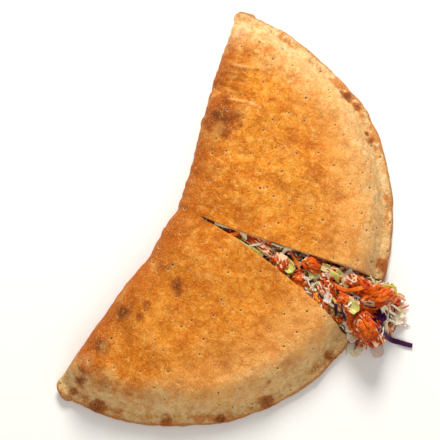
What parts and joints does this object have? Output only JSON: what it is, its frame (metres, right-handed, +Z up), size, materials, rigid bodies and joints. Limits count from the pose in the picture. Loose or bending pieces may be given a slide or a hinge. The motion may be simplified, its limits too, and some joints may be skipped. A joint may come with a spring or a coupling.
{
  "type": "calzone",
  "caption": "Half-moon folded and baked calzone, cut once from its rim and fanned open, with a chicken and cabbage filling that spills out.",
  "frame": {"origin": "centre of the footprint, on the surface that the calzone lies on", "axes": "+Z up, the long fold runs along X at +Y, and the cut opens towards -Y"},
  "size_m": [0.3272, 0.2321, 0.032],
  "materials": {
    "crust": "baked dough, satin to matt",
    "filling": "moist shredded vegetables",
    "chicken": "moist roasted meat",
    "red_cabbage": "moist raw cabbage"
  },
  "bodies": {
    "root": {"crust": "crust", "filling": "filling", "chicken_1": "chicken", "chicken_2": "chicken", "chicken_3": "chicken", "chicken_4": "chicken", "chicken_5": "chicken", "chicken_6": "chicken", "chicken_7": "chicken", "chicken_8": "chicken", "chicken_9": "chicken", "chicken_10": "chicken", "red_cabbage_strip": "red_cabbage"}
  },
  "joints": []
}
